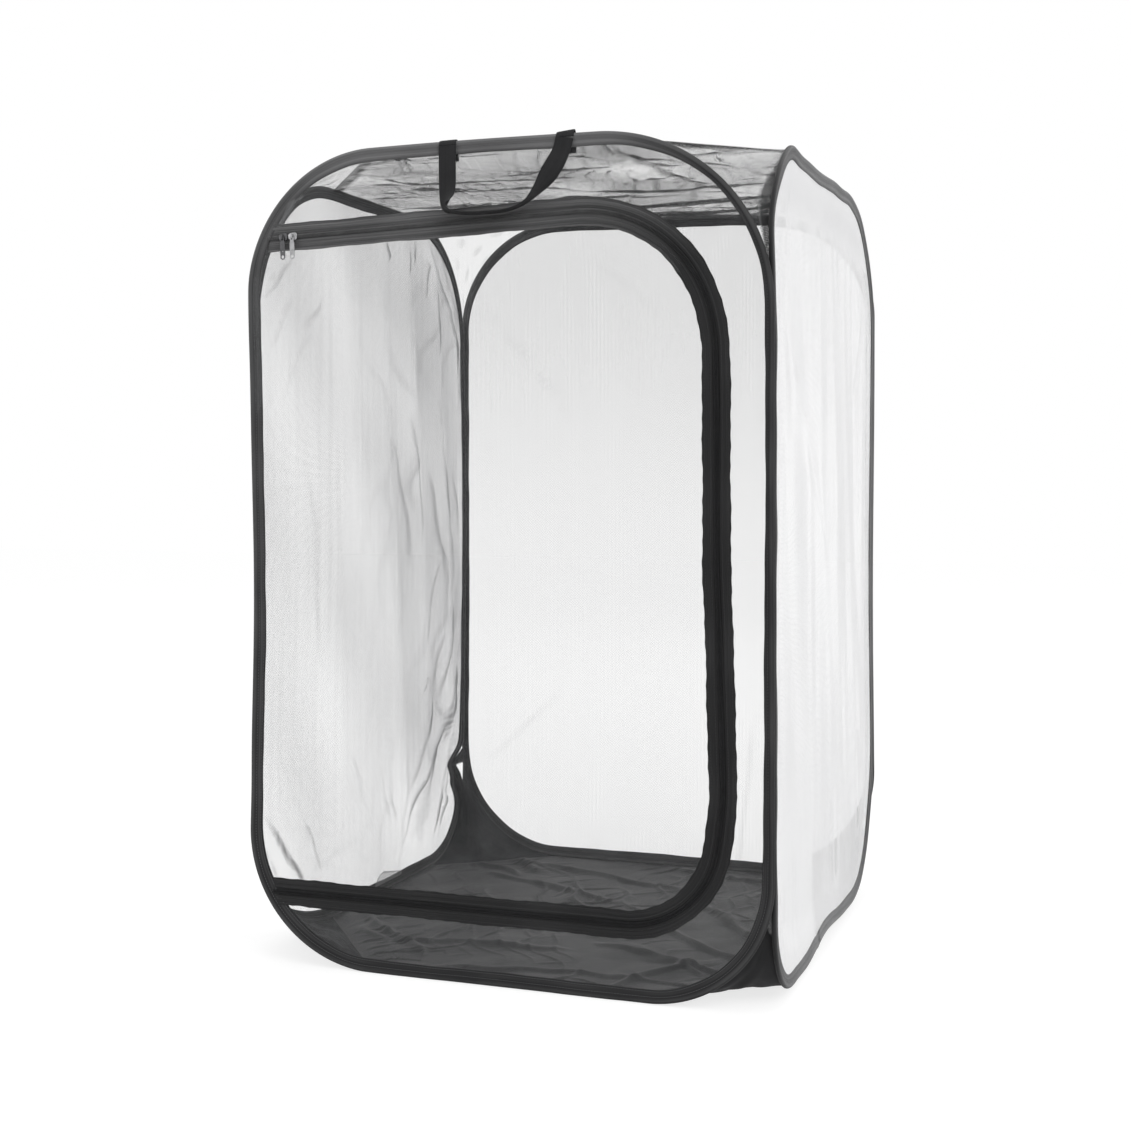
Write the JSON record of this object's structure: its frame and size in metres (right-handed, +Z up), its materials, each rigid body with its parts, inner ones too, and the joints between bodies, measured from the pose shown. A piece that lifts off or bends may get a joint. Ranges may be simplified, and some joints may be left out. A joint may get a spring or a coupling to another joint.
{
  "type": "insect cage",
  "caption": "Tall pop-up mesh insect cage: spring wire hoops in tape sleeves, pale net walls, a zipped D-shaped front door, dark net top, woven floor and webbing carry handle.",
  "frame": {"origin": "centre of the floor's underside, on the surface that the cage stands on", "axes": "+Z up, the zipped front towards -Y, +X to the right seen from the front"},
  "size_m": [0.6048, 0.6264, 0.915],
  "materials": {
    "spring_steel": "bare spring wire, hidden in the sleeves",
    "crimp_metal": "crimped tube, hidden in the sleeves",
    "binding_tape": "dark grey woven binding tape, matt",
    "pale_net": "fine white-grey knitted mesh, see-through",
    "dark_net": "fine black mesh, partly see-through",
    "floor_cloth": "black coated woven cloth",
    "zip_tape": "black woven zip tape",
    "zip_coil": "black nylon coil",
    "nickel": "bright nickel plate",
    "webbing": "black ribbed webbing",
    "label_satin": "thin grey satin, blank"
  },
  "bodies": {
    "frame": {"front_hoop_wire": "spring_steel", "front_hoop_ferrule": "crimp_metal", "front_sleeve": "binding_tape", "back_hoop_wire": "spring_steel", "back_hoop_ferrule": "crimp_metal", "back_sleeve": "binding_tape", "left_hoop_wire": "spring_steel", "left_hoop_ferrule": "crimp_metal", "left_sleeve": "binding_tape", "right_hoop_wire": "spring_steel", "right_hoop_ferrule": "crimp_metal", "right_sleeve": "binding_tape", "front_surround_net": "pale_net", "back_net": "pale_net", "left_net": "pale_net", "right_net": "pale_net", "door_hinge_net": "pale_net", "top_net": "dark_net", "floor_panel": "floor_cloth", "top_gusset_front_left": "pale_net", "floor_gusset_front_left": "floor_cloth", "top_gusset_front_right": "pale_net", "floor_gusset_front_right": "floor_cloth", "top_gusset_back_left": "pale_net", "floor_gusset_back_left": "floor_cloth", "top_gusset_back_right": "pale_net", "floor_gusset_back_right": "floor_cloth", "care_label": "label_satin", "zip_frame_tape": "zip_tape", "zip_frame_coil": "zip_coil", "zip_top_end_tape": "zip_tape", "zip_top_end_coil": "zip_coil", "zip_bottom_end_tape": "zip_tape", "zip_bottom_end_coil": "zip_coil", "handle_anchor_left": "webbing", "handle_anchor_right": "webbing"},
    "door": {"door_net": "pale_net", "zip_door_tape": "zip_tape", "zip_door_coil": "zip_coil"},
    "slider_left": {"slider_left": "nickel"},
    "slider_right": {"slider_right": "nickel"},
    "pull_left": {"pull_left": "nickel"},
    "pull_right": {"pull_right": "nickel"},
    "handle": {"carry_handle": "webbing"}
  },
  "joints": [
    {"name": "door_swing", "type": "hinge", "parent": "frame", "child": "door", "pos_m": [-0.2314, -0.3039, 0.45], "axis": [0, 0, -1], "range_deg": [0, 160]},
    {"name": "slider_left_travel", "type": "slide", "parent": "frame", "child": "slider_left", "axis": [0.9996, 0, 0.0293], "range_m": [0, 0.17]},
    {"name": "slider_right_travel", "type": "slide", "parent": "slider_left", "child": "slider_right", "axis": [0.9996, 0, 0.0293], "range_m": [0, 0.159]},
    {"name": "pull_left_swing", "type": "hinge", "parent": "slider_left", "child": "pull_left", "pos_m": [-0.2574, -0.3063, 0.8138], "axis": [-0.9996, 0, -0.0293], "range_deg": [0, 175]},
    {"name": "pull_right_swing", "type": "hinge", "parent": "slider_right", "child": "pull_right", "pos_m": [-0.2454, -0.3063, 0.81415], "axis": [-0.9996, 0, -0.0293], "range_deg": [0, 175]},
    {"name": "handle_swing", "type": "hinge", "parent": "frame", "child": "handle", "pos_m": [0.0105, -0.30442, 0.90323], "axis": [-1, 0, 0], "range_deg": [0, 175]}
  ]
}
